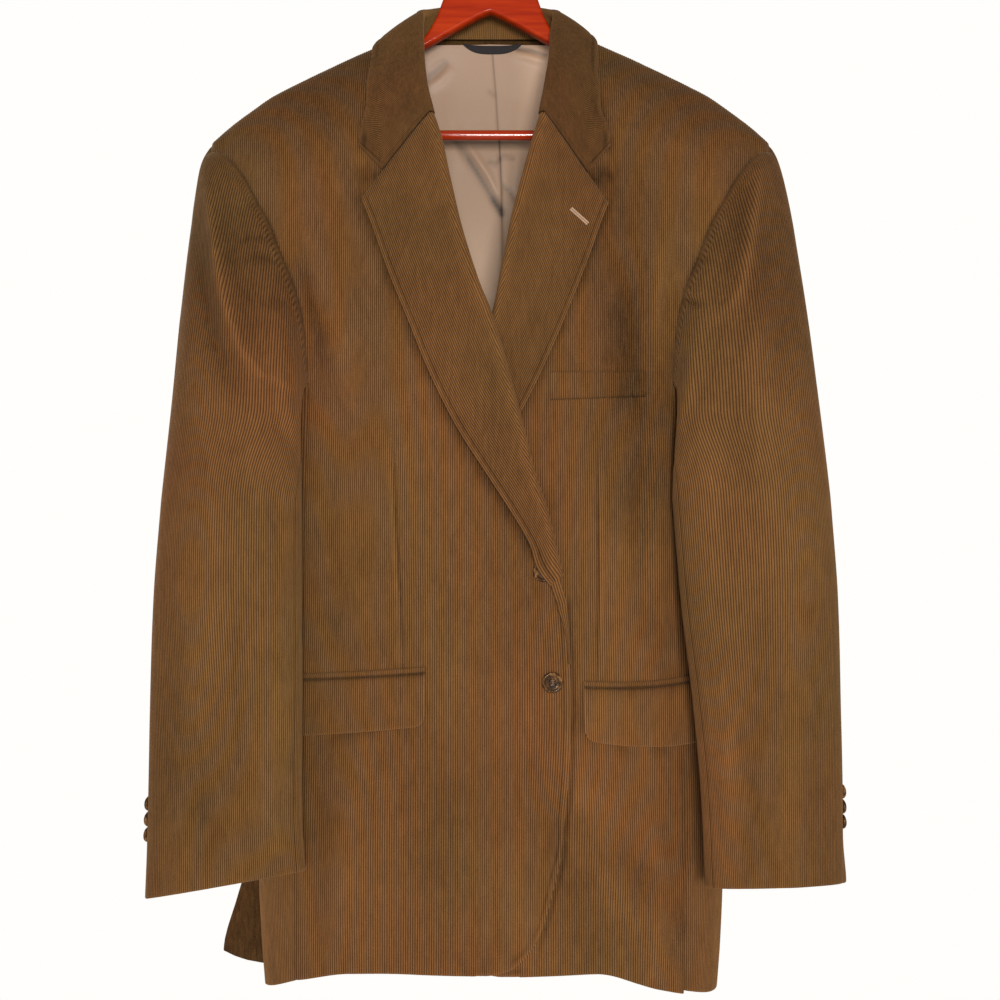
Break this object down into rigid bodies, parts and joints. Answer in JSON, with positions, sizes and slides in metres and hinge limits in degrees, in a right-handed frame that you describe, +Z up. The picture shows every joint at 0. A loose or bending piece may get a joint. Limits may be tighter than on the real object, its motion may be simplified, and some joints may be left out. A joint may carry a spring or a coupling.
{
  "type": "corduroy jacket on a wooden hanger",
  "caption": "Single-breasted corduroy jacket with notch lapels and flap pockets, unbuttoned, hanging on a lacquered wooden hanger.",
  "frame": {"origin": "inside top of the hanger's hook, where a rod carries it", "axes": "+Z up, -Y out of the jacket's front, +X towards the wearer's left"},
  "size_m": [0.5814, 0.1333, 0.9805],
  "materials": {
    "corduroy": "brown cotton corduroy, fine wales, soft nap",
    "satin_lining": "beige satin lining",
    "blank_label": "dark woven strip, blank",
    "button": "marbled brown, polished",
    "lacquered_wood": "orange-red clear lacquer",
    "hook_wire": "bright steel wire"
  },
  "bodies": {
    "root": {"front_right": "corduroy", "side_right": "corduroy", "back_right": "corduroy", "front_left": "corduroy", "side_left": "corduroy", "back_left": "corduroy", "sleeve_upper_right": "corduroy", "sleeve_under_right": "corduroy", "sleeve_upper_left": "corduroy", "sleeve_under_left": "corduroy", "lapel_right": "corduroy", "lapel_left": "corduroy", "collar": "corduroy", "back_lining": "satin_lining", "neck_label": "blank_label", "pocket_lip_right": "corduroy", "pocket_flap_right": "corduroy", "pocket_lip_left": "corduroy", "pocket_flap_left": "corduroy", "breast_welt": "corduroy", "front_button_upper": "button", "front_button_lower": "button", "cuff_button_right_1": "button", "cuff_button_right_2": "button", "cuff_button_right_3": "button", "cuff_button_left_1": "button", "cuff_button_left_2": "button", "cuff_button_left_3": "button", "hanger_board": "lacquered_wood", "trouser_bar": "lacquered_wood", "hanger_hook": "hook_wire"}
  },
  "joints": []
}
